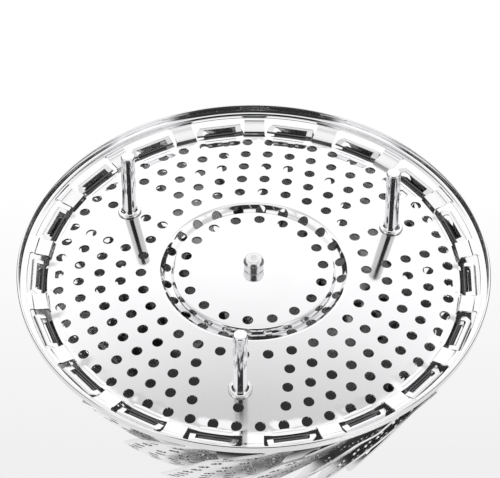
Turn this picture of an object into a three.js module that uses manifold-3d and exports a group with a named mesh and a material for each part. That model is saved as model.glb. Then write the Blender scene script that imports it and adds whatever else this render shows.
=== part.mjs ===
// Folding steamer basket of polished stainless steel, standing on its three feet with the petals closed.
// Millimetres, +Z up. The origin is on the table under the middle of the basket.
import * as THREE from 'three';
import { mergeVertices } from 'three/addons/utils/BufferGeometryUtils.js';
import Module from 'manifold-3d';

const wasm = await Module();
wasm.setup();

const degrees = Math.PI / 180;
const fullTurn = 2 * Math.PI;

// Driving dimensions
const fitGap = 0.3;             // gap between pieces that seat on each other

const deckHeight = 25.5;        // edge of the dished deck above the table
const deckRadius = 61.2;
const deckSheet = 0.8;
const deckSag = 4.75;           // how far the middle of the deck lies below its edge
const holeDiameter = 3.2;
const holeMargin = 3.3;         // outermost ring of holes inside the deck's edge
const ringPitch = 6.15;         // from one ring of holes to the next
const sectorHoles = 6;          // holes of the innermost ring in the sector of one foot
const sectorHolesMore = 2;      // each ring outwards has this many more in a sector
const ridgeRadius = 24.2;       // crest of the ring pressed round the middle of the deck
const ridgeInside = 0.7;        // width of its steep inner side
const ridgeHeight = 1.2;
const ridgeHoleMargin = 0.25;   // sheet beside the holes in its outer slope
const middleHoleMargin = 2.9;   // innermost ring of holes inside the ridge

const petalCount = 18;
const rimReach = 7.3;           // middle of the rolled rim outside the deck's edge
const rimBead = 1.5;            // radius of the rolled rim
const rimDrop = 5.3;            // middle of the rim below the deck's edge
const bridgeWidth = 6.2;        // strips between the petals that carry the rim
const bridgeSheet = 0.7;
const bridgeRoot = 1;           // the strips start this far inside the deck's edge
const kneeReach = 3.5;          // they slope gently this far past the deck, then steeply to the rim
const kneeDrop = 1.2;

const hingeDrop = 0.2;          // hinge axis below the deck's edge
const tongueSheet = 0.7;        // curled tongue of the deck that holds a petal's bar
const tongueStart = 190;        // the curl runs over the bar from here
const tongueEnd = -75;
const barWidth = 1.5;           // bar at a petal's root, inside the curl
const barClearance = 0.34;
const barToDeck = 0.35;         // gap between the bar and the deck's edge

const petalSheet = 0.6;
const petalLength = 66;         // blade, from the bend at its root to its tip
const rootToBridge = 0.77;      // gap between a petal's root and the strips beside it
const rootDip = 15;             // the root slopes down outwards, in degrees
const rootWeb = 0.3;            // sheet between the slot and the bend
const slotEndWidth = 1.8;       // sheet at each end of the slot
const slotEndClearance = 0.4;
const slotClearance = 0.45;     // from the curl to the slot's outer side
const rootBendRadius = 0.9;
const leanAtRoot = 24;          // blade's lean towards the middle, in degrees from upright
const leanAtTip = 40;
const bladeShift = 7.5;         // blade's centre line beside the middle of its hinge
const bladeSwirl = 14.5;        // turn of the centre line from root to tip, in degrees
const bladeHalfWidthRoot = 9;
const bladeHalfWidthTip = 20;
const bladeWidening = 0.8;
const tipLength = 14;           // rounded end of the blade
const spiralRoot = 8;           // rise of a blade's outer edge over its neighbour, for each radian round
const spiralTip = 14;
const archRadiusRoot = 72;      // radius of the blade's arch, side to side
const archRadiusTip = 40;
const blendLength = 12;         // the flat root becomes the arched blade over this length
const shoulderHeight = 4.4;     // the blade reaches its full width here, clear of the strips when open
const shoulderNeck = 0.8;
const bladeRows = 5;            // rows and columns of openings in a blade
const bladeColumns = 3;
const lineBow = 1;              // rows bow this far towards the tip
const tipBow = 2;
const tipLineShare = 0.55;      // place of the line across the rounded end

const footNames = ['right_rear', 'left_rear', 'front'];
const footRingFromEdge = 3;     // the feet stand in this ring of holes, counted from the deck's edge
const footAngle = 34.6;         // first foot, and the start of every ring of holes, in degrees
const footShaftRadius = 2.1;
const footFlangeWidth = 1.4;
const footFlangeHeight = 2;
const footFlangeBevel = 0.6;
const footTipBevel = 0.8;
const footTipHeight = 1;
const footWall = 0.6;           // foot's wall round its rivet
const rivetShankLength = 6;     // below the deck
const rivetHeadWidth = 1.8;     // head beyond its shank
const rivetHeadHeight = 1.2;
const padMargin = 0.7;          // seats of the deck beyond a foot's flange and the post's collar

const postRadius = 3;
const postShankRadius = 2;
const postShankLength = 2.6;    // inside the nut
const postCollarWidth = 1.5;    // collar beyond the post
const postCollarHeight = 1.2;
const postCollarBevel = 0.6;
const eyeRise = 46;             // eye of the post above the middle of the deck
const eyeWall = 2.2;
const eyeThickness = 4;
const nutWall = 0.8;
const nutFloor = 1.1;
const nutRound = 1.2;           // height of the nut's rounded end
const nutDimpleRadius = 0.9;
const nutDimpleDepth = 0.5;

const ringRadius = 12;          // lifting ring, middle of its wire
const ringWire = 1.5;

// Facets
const holeSides = 4;
const seatSides = 8;
const rimSides = 6;
const turnedSides = 12;
const postSides = 16;
const wireSides = 8;
const ringSides = 24;
const curlSteps = 5;
const bendSteps = 4;
const crownSteps = 3;
const slopeStep = 0.01;         // step that finds the slope of a petal's sheet
const pointTolerance = 0.01;    // points this close are the same

// Sizes that follow
const petalStep = fullTurn / petalCount;
const circleSides = 2 * petalCount;
const footCount = footNames.length;
const ridgeInner = ridgeRadius - ridgeInside;
const ridgeOuter = ridgeRadius + holeDiameter + 2 * ridgeHoleMargin;
const holeRingRadii = holeRings();
const hingeRadius = deckRadius + barToDeck + barWidth / 2;
const hingeHeight = deckHeight - hingeDrop;
const barReach = Math.hypot(barWidth, petalSheet) / 2;
const curlInner = barReach + barClearance;
const curlOuter = curlInner + tongueSheet;
const rootHalfWidth = (hingeRadius * petalStep - bridgeWidth) / 2 - rootToBridge;
const slotHalfLength = rootHalfWidth - slotEndWidth;
const slotInner = barWidth / 2;
const slotOuter = curlOuter + slotClearance;
const tongueWidth = 2 * (slotHalfLength - slotEndClearance);
const rootLength = slotOuter + rootWeb;
const bendTurn = (90 + rootDip + leanAtRoot) * degrees;
const bladeStart = rootLength + rootBendRadius * bendTurn;
const openSide = (Math.sqrt(Math.PI) * holeDiameter) / (2 * ringPitch);
const footRingIndex = holeRingRadii.length - footRingFromEdge;
const footRadius = holeRingRadii[footRingIndex];
const footHeight = deckLevel(footRadius);
const footFlangeRadius = footShaftRadius + footFlangeWidth;
const padRadius = footFlangeRadius + padMargin;
const rivetHoleRadius = footShaftRadius - footWall;
const rivetShankRadius = rivetHoleRadius - fitGap;
const rivetHeadRadius = rivetShankRadius + rivetHeadWidth;
const middleHeight = deckLevel(0);
const eyeHeight = middleHeight + eyeRise;
const postCollarRadius = postRadius + postCollarWidth;
const wireBow = (eyeThickness * eyeThickness) / (8 * ringRadius);
const eyeHole = ringWire + wireBow + fitGap;
const eyeRadius = eyeHole + eyeWall;
const nutBore = postShankRadius + fitGap;
const nutRadius = nutBore + nutWall;
const nutBoreDepth = postShankLength + fitGap;
const ringHang = Math.asin((postRadius + ringWire + fitGap) / (2 * ringRadius));

const polished = { color: 0xd8d9db, roughness: 0.16, metalness: 1 };
const satin = { color: 0xc4c6c9, roughness: 0.3, metalness: 1 };

function at(x, y) {
  return new THREE.Vector2(x, y);
}

// Rings of holes: one inside the ridge, one in its outer slope, the others evenly from the edge inwards
function holeRings() {
  const rings = [];
  for (let radius = deckRadius - holeMargin; radius - ringPitch / 2 > ridgeOuter; radius -= ringPitch) {
    rings.unshift(radius);
  }
  return [ridgeInner - middleHoleMargin, (ridgeRadius + ridgeOuter) / 2, ...rings];
}

// Level of the middle of the deck's sheet: a shallow bowl with a pressed ring, flat outside the holes
function deckLevel(radius) {
  const share = Math.min(radius / (deckRadius - holeMargin), 1);
  let level = deckHeight - deckSag * (1 - share * share);
  if (radius > ridgeInner && radius < ridgeOuter) {
    const inside = (radius - ridgeInner) / (ridgeRadius - ridgeInner);
    const outside = (ridgeOuter - radius) / (ridgeOuter - ridgeRadius);
    level += ridgeHeight * Math.min(inside, outside);
  }
  return level;
}

function toSolid(geometry) {
  const plain = geometry.index ? geometry.clone() : geometry;
  plain.deleteAttribute('normal');
  plain.deleteAttribute('uv');
  const merged = mergeVertices(plain, 1e-5);
  return new wasm.Manifold(new wasm.Mesh({
    numProp: 3,
    vertProperties: new Float32Array(merged.attributes.position.array),
    triVerts: new Uint32Array(merged.index.array),
  }));
}

function toGeometry(solid) {
  const mesh = solid.getMesh();
  const geometry = new THREE.BufferGeometry();
  geometry.setAttribute('position', new THREE.BufferAttribute(new Float32Array(mesh.vertProperties), 3));
  geometry.setIndex(new THREE.BufferAttribute(new Uint32Array(mesh.triVerts), 1));
  geometry.computeVertexNormals();
  return geometry;
}

function circlePoints(radius, sides, middle = at(0, 0), start = 0) {
  const points = [];
  for (let i = 0; i < sides; i += 1) {
    const angle = start + (i * fullTurn) / sides;
    points.push(at(middle.x + radius * Math.cos(angle), middle.y + radius * Math.sin(angle)));
  }
  return points;
}

// Part of an ellipse, from one angle to another in degrees
function arcPoints(middle, halfWidth, halfHeight, fromDegrees, toDegrees, steps) {
  const points = [];
  for (let i = 0; i <= steps; i += 1) {
    const angle = THREE.MathUtils.lerp(fromDegrees, toDegrees, i / steps) * degrees;
    points.push(at(middle.x + halfWidth * Math.cos(angle), middle.y + halfHeight * Math.sin(angle)));
  }
  return points;
}

// A pressed sheet: strips of its flat pattern are triangulated, both skins are placed and the edges closed
function pressSheet(strips, place) {
  const flat = [];
  const known = new Map();
  const triangles = [];
  const indexOf = (point) => {
    const key = `${point.x.toFixed(4)} ${point.y.toFixed(4)}`;
    if (!known.has(key)) {
      known.set(key, flat.length);
      flat.push(point);
    }
    return known.get(key);
  };
  for (const { outline, holes } of strips) {
    const points = [outline, ...holes].flat();
    for (const corners of THREE.ShapeUtils.triangulateShape(outline, holes)) {
      const [a, b, c] = corners.map((corner) => points[corner]);
      const turn = (b.x - a.x) * (c.y - a.y) - (b.y - a.y) * (c.x - a.x);
      const ordered = turn > 0 ? [a, b, c] : [a, c, b];
      triangles.push(ordered.map(indexOf));
    }
  }
  const edges = new Map();
  for (const triangle of triangles) {
    triangle.forEach((from, i) => {
      const to = triangle[(i + 1) % 3];
      const back = `${to} ${from}`;
      if (edges.has(back)) edges.delete(back);
      else edges.set(`${from} ${to}`, [from, to]);
    });
  }
  const lower = flat.length;
  const index = [];
  for (const [a, b, c] of triangles) {
    index.push(a, b, c);
    index.push(lower + a, lower + c, lower + b);
  }
  for (const [from, to] of edges.values()) {
    index.push(from, lower + from, to);
    index.push(to, lower + from, lower + to);
  }
  const upperSkin = flat.map((point) => place(point, 1));
  const lowerSkin = flat.map((point) => place(point, -1));
  const geometry = new THREE.BufferGeometry();
  geometry.setFromPoints([...upperSkin, ...lowerSkin]);
  geometry.setIndex(index);
  return geometry;
}

// Outline of a bent strip of even thickness, from the points along its middle
function stripShape(path, thickness) {
  const side = (i, sign) => {
    const before = path[Math.max(i - 1, 0)];
    const after = path[Math.min(i + 1, path.length - 1)];
    const along = after.clone().sub(before).normalize();
    return at(-along.y, along.x).multiplyScalar((sign * thickness) / 2).add(path[i]);
  };
  const left = path.map((point, i) => side(i, 1));
  const right = path.map((point, i) => side(i, -1));
  return new THREE.Shape([...right, ...left.reverse()]);
}

// A profile drawn in radius and height, given a width and set at an angle round the basket
function radialExtrusion(shape, width, angle) {
  const geometry = new THREE.ExtrudeGeometry(shape, { depth: width, bevelEnabled: false });
  geometry.translate(0, 0, -width / 2);
  geometry.rotateX(Math.PI / 2);
  geometry.rotateZ(angle);
  return geometry;
}

// A turned piece, from points in radius and height listed from its lower end on the axis to its upper end
function turned(points, sides) {
  const geometry = new THREE.LatheGeometry(points, sides);
  geometry.rotateX(Math.PI / 2);
  return toGeometry(toSolid(geometry));
}

function named(name, geometry, finish) {
  const mesh = new THREE.Mesh(geometry, new THREE.MeshStandardMaterial(finish));
  mesh.name = name;
  return mesh;
}

function footMiddles() {
  return circlePoints(footRadius, footCount, at(0, 0), footAngle * degrees);
}

// Holes of one ring of the deck. A foot takes the place of some of them, of their neighbours and of any it cuts
function ringHoles(ringIndex) {
  const perFoot = sectorHoles + sectorHolesMore * ringIndex;
  const middles = circlePoints(holeRingRadii[ringIndex], perFoot * footCount, at(0, 0), footAngle * degrees);
  const fromRing = Math.abs(ringIndex - footRingIndex);
  const clearOfFoot = padRadius + holeDiameter / 2 + fitGap;
  const kept = middles.filter((middle, i) => {
    const fromFoot = Math.min(i % perFoot, perFoot - (i % perFoot));
    if (fromRing === 0 && fromFoot <= 1) return false;
    if (fromRing === 1 && fromFoot === 1) return false;
    return footMiddles().every((foot) => foot.distanceTo(middle) > clearOfFoot);
  });
  return kept.map((middle) => circlePoints(holeDiameter / 2, holeSides, middle, middle.angle()));
}

// Deck: rings of flat pattern with the holes, and a flat pad round each foot
function deckGeometry() {
  const collarSeat = postCollarRadius + padMargin;
  const edges = [postShankRadius + fitGap, collarSeat, ridgeInner, ridgeRadius, ridgeOuter];
  for (let i = 2; i + 1 < holeRingRadii.length; i += 1) {
    const between = (holeRingRadii[i] + holeRingRadii[i + 1]) / 2;
    if (Math.abs(between - footRadius) > padRadius) edges.push(between);
  }
  edges.push(deckRadius);
  const strips = [];
  const circles = edges.map((radius) => circlePoints(radius, radius < ridgeInner ? seatSides : circleSides));
  for (let i = 0; i + 1 < edges.length; i += 1) {
    const holes = [circles[i]];
    holeRingRadii.forEach((radius, ringIndex) => {
      if (radius > edges[i] && radius < edges[i + 1]) holes.push(...ringHoles(ringIndex));
    });
    if (footRadius > edges[i] && footRadius < edges[i + 1]) {
      for (const middle of footMiddles()) {
        const pad = circlePoints(padRadius, seatSides, middle);
        holes.push(pad);
        strips.push({ outline: pad, holes: [circlePoints(rivetHoleRadius, seatSides, middle)] });
      }
    }
    strips.push({ outline: circles[i + 1], holes });
  }
  const feet = footMiddles();
  const place = (point, side) => {
    const onPad = feet.some((middle) => middle.distanceTo(point) < padRadius + pointTolerance);
    const level = onPad ? footHeight : deckLevel(point.length());
    return new THREE.Vector3(point.x, point.y, level + (side * deckSheet) / 2);
  };
  return pressSheet(strips, place);
}

// Base plate: deck, rolled rim, the strips that carry the rim and a curled tongue for each petal
function basePlate() {
  const rimMiddle = at(deckRadius + rimReach, deckHeight - rimDrop);
  const bridge = stripShape([
    at(deckRadius - bridgeRoot, deckHeight),
    at(deckRadius, deckHeight),
    at(deckRadius + kneeReach, deckHeight - kneeDrop),
    rimMiddle,
  ], bridgeSheet);
  const curlMiddle = at(hingeRadius, hingeHeight);
  const curl = new THREE.Shape([
    ...arcPoints(curlMiddle, curlInner, curlInner, tongueEnd, tongueStart, curlSteps),
    ...arcPoints(curlMiddle, curlOuter, curlOuter, tongueStart, tongueEnd, curlSteps),
  ]);
  const rim = new THREE.TorusGeometry(rimMiddle.x, rimBead, rimSides, circleSides);
  rim.translate(0, 0, rimMiddle.y);
  let solid = toSolid(deckGeometry()).add(toSolid(rim));
  for (let i = 0; i < petalCount; i += 1) {
    solid = solid.add(toSolid(radialExtrusion(bridge, bridgeWidth, (i + 0.5) * petalStep)));
    solid = solid.add(toSolid(radialExtrusion(curl, tongueWidth, i * petalStep)));
  }
  return toGeometry(solid);
}

// Root of a petal in radius and height: a flat that dips outwards, then a tight bend upwards
function rootPoint(length) {
  const dip = rootDip * degrees;
  const straight = Math.min(length, rootLength);
  const point = at(hingeRadius + straight * Math.cos(dip), hingeHeight - straight * Math.sin(dip));
  if (length > rootLength) {
    const turn = (length - rootLength) / rootBendRadius - dip;
    point.x += rootBendRadius * (Math.sin(turn) + Math.sin(dip));
    point.y += rootBendRadius * (Math.cos(dip) - Math.cos(turn));
  }
  return point;
}

// Blade's centre line: its radius, height and turn round the basket at a length along it
function bladeLine(length) {
  const bend = ((leanAtTip - leanAtRoot) * degrees) / petalLength;
  const lean = leanAtRoot * degrees + bend * length;
  const share = length / petalLength;
  const start = rootPoint(bladeStart);
  return {
    radius: start.x + (Math.cos(lean) - Math.cos(leanAtRoot * degrees)) / bend,
    height: start.y + (Math.sin(lean) - Math.sin(leanAtRoot * degrees)) / bend,
    turn: bladeShift / start.x + bladeSwirl * degrees * (2 * share - share * share),
    share,
  };
}

// Middle of a petal's sheet. The pattern's x runs across the petal and its y along it from the hinge axis
function petalMiddle(across, along) {
  if (along <= bladeStart) {
    const root = rootPoint(along);
    return new THREE.Vector3(root.x, across, root.y);
  }
  const length = along - bladeStart;
  const { radius, height, turn, share } = bladeLine(length);
  const aside = across - bladeShift;
  const spiral = spiralRoot + (spiralTip - spiralRoot) * share;
  const arch = (1 - share) / archRadiusRoot + share / archRadiusTip;
  const reach = radius + (spiral * aside) / radius + ((1 / radius - arch) * aside * aside) / 2;
  const angle = turn + aside / radius;
  const blade = new THREE.Vector3(reach * Math.cos(angle), reach * Math.sin(angle), height);
  const slide = radius * turn - bladeShift;
  const flat = new THREE.Vector3(radius, across + slide, height);
  return flat.lerp(blade, THREE.MathUtils.smoothstep(length, 0, blendLength));
}

function petalSkin(point, side) {
  const { x, y } = point;
  const acrossStep = petalMiddle(x + slopeStep, y).sub(petalMiddle(x - slopeStep, y));
  const alongStep = petalMiddle(x, y + slopeStep).sub(petalMiddle(x, y - slopeStep));
  const normal = acrossStep.cross(alongStep).normalize();
  return petalMiddle(x, y).addScaledVector(normal, (side * petalSheet) / 2);
}

function bladeHalfWidth(length) {
  const share = length / petalLength;
  const plain = bladeHalfWidthRoot + (bladeHalfWidthTip - bladeHalfWidthRoot) * share ** bladeWidening;
  const intoTip = Math.max(length - petalLength + tipLength, 0) / tipLength;
  return plain * Math.sqrt(1 - intoTip * intoTip);
}

// Line across a blade, bowed towards the tip
function bladeCrossing(length, bow) {
  const half = bladeHalfWidth(length);
  const points = [];
  for (let i = 0; i <= bladeColumns; i += 1) {
    const share = (2 * i) / bladeColumns - 1;
    points.push(at(bladeShift + half * share, bladeStart + length + bow * (1 - share * share)));
  }
  return points;
}

// Slotted root of a petal, its bend and the neck up to the blade's shoulder
function petalRootStrips(slantEnd) {
  const bladeLeft = bladeShift - bladeHalfWidthRoot;
  const slantStart = (slotInner + slotOuter) / 2;
  const slant = (along) => {
    const across = THREE.MathUtils.mapLinear(along, slantStart, slantEnd, -rootHalfWidth, bladeLeft);
    return at(across, along);
  };
  const slot = [
    at(-slotHalfLength, slotInner), at(slotHalfLength, slotInner),
    at(slotHalfLength, slotOuter), at(-slotHalfLength, slotOuter),
  ];
  const root = [
    at(-rootHalfWidth, -barWidth / 2), at(rootHalfWidth, -barWidth / 2), at(rootHalfWidth, rootLength),
    slant(rootLength), slant(slantStart),
  ];
  const strips = [{ outline: root, holes: [slot] }];
  const crossings = [];
  for (let i = 0; i <= bendSteps; i += 1) {
    crossings.push(THREE.MathUtils.lerp(rootLength, bladeStart, i / bendSteps));
  }
  crossings.push(slantEnd);
  for (let i = 0; i + 1 < crossings.length; i += 1) {
    const [near, far] = [crossings[i], crossings[i + 1]];
    strips.push({
      outline: [slant(near), at(rootHalfWidth, near), at(rootHalfWidth, far), slant(far)],
      holes: [],
    });
  }
  return strips;
}

// Flat pattern of a petal. Its blade is rows of cells and a rounded end. Each cell is open at its middle, by the
// share of the sheet that round holes at the deck's pitch would open
function petalGeometry() {
  const slantEnd = bladeStart + shoulderHeight - shoulderNeck;
  const tipStart = petalLength - tipLength;
  const strips = petalRootStrips(slantEnd);
  const lines = [];
  for (let i = 0; i <= bladeRows; i += 1) {
    lines.push(bladeCrossing(THREE.MathUtils.lerp(shoulderHeight, tipStart, i / bladeRows), lineBow));
  }
  lines.push(bladeCrossing(tipStart + tipLength * tipLineShare, lineBow));
  lines.push(bladeCrossing(petalLength - tipBow, tipBow));
  const neck = [at(bladeShift - bladeHalfWidthRoot, slantEnd), at(rootHalfWidth, slantEnd)];
  strips.push({ outline: [...neck, ...lines[0].slice().reverse()], holes: [] });
  for (let row = 0; row + 1 < lines.length; row += 1) {
    const [near, far] = [lines[row], lines[row + 1]];
    for (let i = 0; i < bladeColumns; i += 1) {
      const outline = [near[i], near[i + 1], far[i + 1], far[i]];
      const middle = at(0, 0);
      outline.forEach((corner) => middle.addScaledVector(corner, 1 / outline.length));
      const opening = outline.map((corner) => middle.clone().lerp(corner, openSide));
      strips.push({ outline, holes: row < bladeRows ? [opening] : [] });
    }
  }
  return toGeometry(toSolid(pressSheet(strips, petalSkin)));
}

// Foot: a turned stud with a flange under the deck and a bore for its rivet
function footGeometry() {
  const top = footHeight - deckSheet / 2 - fitGap;
  const flange = top - footFlangeHeight;
  const boreEnd = footHeight - deckSheet / 2 - rivetShankLength - fitGap;
  return turned([
    at(0, 0), at(footShaftRadius - footTipBevel, 0), at(footShaftRadius, footTipHeight),
    at(footShaftRadius, flange), at(footFlangeRadius, flange + footFlangeBevel), at(footFlangeRadius, top),
    at(rivetHoleRadius, top), at(rivetHoleRadius, boreEnd), at(0, boreEnd),
  ], turnedSides);
}

function rivetGeometry() {
  const seat = footHeight + deckSheet / 2 + fitGap;
  const end = footHeight - deckSheet / 2 - rivetShankLength;
  return turned([
    at(0, end), at(rivetShankRadius, end), at(rivetShankRadius, seat),
    ...arcPoints(at(0, seat), rivetHeadRadius, rivetHeadHeight, 0, 90, crownSteps),
  ], turnedSides);
}

// Post: shank through the deck into its nut, collar on the deck, shaft and a flat eye for the ring
function postGeometry() {
  const seat = middleHeight + deckSheet / 2 + fitGap;
  const shankEnd = middleHeight - deckSheet / 2 - fitGap - postShankLength;
  const collarTop = seat + postCollarHeight;
  const eyeWallMiddle = (eyeHole + eyeRadius) / 2;
  const shaft = turned([
    at(0, shankEnd), at(postShankRadius, shankEnd), at(postShankRadius, seat), at(postCollarRadius, seat),
    at(postCollarRadius, collarTop), at(postRadius, collarTop + postCollarBevel),
    at(postRadius, eyeHeight - eyeRadius), at(0, eyeHeight - eyeWallMiddle),
  ], postSides);
  const eye = new THREE.CylinderGeometry(eyeRadius, eyeRadius, eyeThickness, postSides);
  const hole = new THREE.CylinderGeometry(eyeHole, eyeHole, 2 * eyeThickness, turnedSides);
  eye.translate(0, 0, eyeHeight);
  hole.translate(0, 0, eyeHeight);
  return toGeometry(toSolid(shaft).add(toSolid(eye)).subtract(toSolid(hole)));
}

// Nut: a cap with a rounded end and a dimple, bored for the post's shank
function nutGeometry() {
  const top = middleHeight - deckSheet / 2 - fitGap;
  const boreEnd = top - nutBoreDepth;
  const bottom = boreEnd - nutFloor;
  const roundMiddle = at(nutDimpleRadius, bottom + nutRound);
  return turned([
    at(0, bottom + nutDimpleDepth),
    ...arcPoints(roundMiddle, nutRadius - nutDimpleRadius, nutRound, -90, 0, crownSteps),
    at(nutRadius, top), at(nutBore, top), at(nutBore, boreEnd), at(0, boreEnd),
  ], postSides);
}

// Lifting ring, hanging from the eye and leaning on the post
function ringGeometry() {
  const ring = new THREE.TorusGeometry(ringRadius, ringWire, wireSides, ringSides);
  ring.rotateY(Math.PI / 2);
  ring.translate(0, 0, -ringRadius);
  ring.rotateY(-ringHang);
  ring.translate(0, 0, eyeHeight);
  return ring;
}

const basket = new THREE.Group();
basket.add(named('base_plate', basePlate(), polished));
const petal = petalGeometry();
for (let i = 0; i < petalCount; i += 1) {
  const mesh = named(`petal_${String(i + 1).padStart(2, '0')}`, petal, polished);
  mesh.rotation.z = i * petalStep;
  basket.add(mesh);
}
const foot = footGeometry();
const rivet = rivetGeometry();
footMiddles().forEach((middle, i) => {
  const leg = named(`foot_${footNames[i]}`, foot, polished);
  const head = named(`foot_rivet_${footNames[i]}`, rivet, polished);
  leg.position.set(middle.x, middle.y, 0);
  head.position.set(middle.x, middle.y, 0);
  basket.add(leg, head);
});
basket.add(named('centre_post', postGeometry(), polished));
basket.add(named('post_nut', nutGeometry(), satin));
basket.add(named('lifting_ring', ringGeometry(), polished));

export default basket;
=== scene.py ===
# Folding steamer basket of polished stainless steel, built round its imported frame.
# Sizes are in millimetres and become metres when a mesh is made. +Z is up, the feet stand on z = 0.
import math

import bpy
import numpy as np
from mathutils import Matrix, Vector


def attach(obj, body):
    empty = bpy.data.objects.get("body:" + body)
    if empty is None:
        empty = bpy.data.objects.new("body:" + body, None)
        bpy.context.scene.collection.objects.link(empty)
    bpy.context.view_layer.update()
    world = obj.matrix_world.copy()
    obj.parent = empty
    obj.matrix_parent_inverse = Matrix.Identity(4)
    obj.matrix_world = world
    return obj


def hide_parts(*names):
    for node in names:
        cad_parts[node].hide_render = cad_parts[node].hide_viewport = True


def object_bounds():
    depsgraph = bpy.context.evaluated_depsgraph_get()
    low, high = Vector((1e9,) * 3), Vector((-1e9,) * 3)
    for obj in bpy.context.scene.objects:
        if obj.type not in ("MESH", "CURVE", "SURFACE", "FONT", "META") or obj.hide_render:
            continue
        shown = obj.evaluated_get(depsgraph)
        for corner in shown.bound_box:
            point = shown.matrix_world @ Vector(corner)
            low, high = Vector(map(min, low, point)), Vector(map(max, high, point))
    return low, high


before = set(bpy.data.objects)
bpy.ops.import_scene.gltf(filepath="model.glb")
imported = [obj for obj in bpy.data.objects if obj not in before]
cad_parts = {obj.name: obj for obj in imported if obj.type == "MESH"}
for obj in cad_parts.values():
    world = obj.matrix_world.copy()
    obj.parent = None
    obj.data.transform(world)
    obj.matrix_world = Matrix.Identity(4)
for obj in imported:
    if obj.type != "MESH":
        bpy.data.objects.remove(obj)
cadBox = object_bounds()
scene = bpy.context.scene
mm = 0.001
fullTurn = 2 * math.pi
print("frame loaded:", len(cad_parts), "nodes")


# Mesh building

mergeSteps = 2000                           # points merge when they agree to 1/2000 mm
slopeStep = 0.01                            # a surface's slope is its change over this step to both sides
rayShares = np.array([1, 0.55, 0.22, 0])    # points on a ray from a cell's edge to its hole's edge


def smoothStep(value, start, end):
    # Three times the square less twice the cube of the share of the way from start to end
    share = np.clip((value - start) / (end - start), 0, 1)
    return share * share * (3 - 2 * share)


def turnAbout(points, angle):
    # Points turned about Z
    c, s = math.cos(angle), math.sin(angle)
    return points @ np.array([[c, s, 0], [-s, c, 0], [0, 0, 1]])


def gridFaces(rows, columns, closeRows=False, closeColumns=False):
    # Quads of a grid whose points are numbered row by row
    i = np.arange(rows if closeRows else rows - 1)[:, None]
    j = np.arange(columns if closeColumns else columns - 1)[None, :]
    below, beside = (i + 1) % rows, (j + 1) % columns
    corners = [i * columns + j, i * columns + beside, below * columns + beside, below * columns + j]
    return np.stack([np.broadcast_to(c, (i.size, j.size)) for c in corners], -1).reshape(-1, 4)


def joinParts(parts):
    # Several (points, faces) as one, with points at the same place merged
    points = np.concatenate([p for p, f in parts])
    starts = np.cumsum([0] + [len(p) for p, f in parts[:-1]])
    faces = np.concatenate([f + s for (p, f), s in zip(parts, starts)])
    places = np.round(points * mergeSteps).astype(np.int64)
    _, first, back = np.unique(places, axis=0, return_index=True, return_inverse=True)
    return points[first], back.reshape(-1)[faces]


def faceOutwards(points, faces):
    # A closed mesh whose signed volume is negative has its faces the wrong way round
    a, b, c, d = (points[faces[:, k]] for k in range(4))
    volume = np.sum(a * (np.cross(b, c) + np.cross(c, d)))
    return (points, faces) if volume > 0 else (points, faces[:, ::-1])


def thicken(points, normals, faces, thickness):
    # Both skins lie half the thickness along the normal from the middle, and walls close the free edges
    count = len(points)
    solid = np.concatenate([points + normals * thickness / 2, points - normals * thickness / 2])
    a, b = faces.reshape(-1), np.roll(faces, -1, axis=1).reshape(-1)
    real = a != b
    a, b = a[real], b[real]
    free = ~np.isin(a * count + b, b * count + a)
    a, b = a[free], b[free]
    walls = np.stack([b, a, a + count, b + count], -1)
    return faceOutwards(solid, np.concatenate([faces, faces[:, ::-1] + count, walls]))


def carryRound(profile, sides):
    # Each point of a profile in radius and height goes round Z in equal steps
    turn = np.arange(sides) * fullTurn / sides
    radius, height = profile[:, 0][:, None], profile[:, 1][:, None]
    return np.stack([radius * np.cos(turn), radius * np.sin(turn), height + 0 * turn], -1).reshape(-1, 3)


def lathe(profile, sides):
    # A profile that runs from the axis to the axis, carried round Z
    faces = gridFaces(len(profile), sides, closeColumns=True)
    return faceOutwards(*joinParts([(carryRound(profile, sides), faces)]))


def hoop(section, sides):
    # A closed section, carried round Z
    return faceOutwards(carryRound(section, sides), gridFaces(len(section), sides, True, True))


def arc(middle, halfWide, halfTall, fromDegrees, toDegrees, steps):
    # Part of an ellipse: cosine times the half width, sine times the half height
    turn = np.radians(np.linspace(fromDegrees, toDegrees, steps + 1))
    return np.stack([middle[0] + halfWide * np.cos(turn), middle[1] + halfTall * np.sin(turn)], -1)


def smoothPath(corners, steps):
    # A curve through the corners: cubic between each two, with slopes from their neighbours
    corners = np.asarray(corners, float)
    slopes = np.gradient(corners, axis=0)
    t = np.linspace(0, 1, steps, endpoint=False)[None, :, None]
    p, q = corners[:-1, None], corners[1:, None]
    m, n = slopes[:-1, None], slopes[1:, None]
    curve = ((2 * t ** 3 - 3 * t ** 2 + 1) * p + (t ** 3 - 2 * t ** 2 + t) * m
             + (3 * t ** 2 - 2 * t ** 3) * q + (t ** 3 - t ** 2) * n)
    return np.concatenate([curve.reshape(-1, 2), corners[-1:]])


def pathLength(path):
    # The way travelled at each point of a path
    return np.concatenate([[0], np.cumsum(np.linalg.norm(np.diff(path, axis=0), axis=1))])


def sweepStrips(path, halfWidths, thickness, angles, across):
    # A strip of sheet along a path in radius and height, repeated round the basket
    along = np.gradient(path, axis=0)
    along /= np.linalg.norm(along, axis=1, keepdims=True)
    share = np.linspace(-1, 1, across)
    rows = len(path)
    points = np.stack([
        np.broadcast_to(path[:, :1], (rows, across)),
        halfWidths[:, None] * share[None],
        np.broadcast_to(path[:, 1:], (rows, across)),
    ], -1).reshape(-1, 3)
    normals = np.stack([-along[:, 1], 0 * along[:, 0], along[:, 0]], -1)
    strip = thicken(points, np.repeat(normals, across, axis=0), gridFaces(rows, across), thickness)
    return joinParts([(turnAbout(strip[0], angle), strip[1]) for angle in angles])


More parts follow.
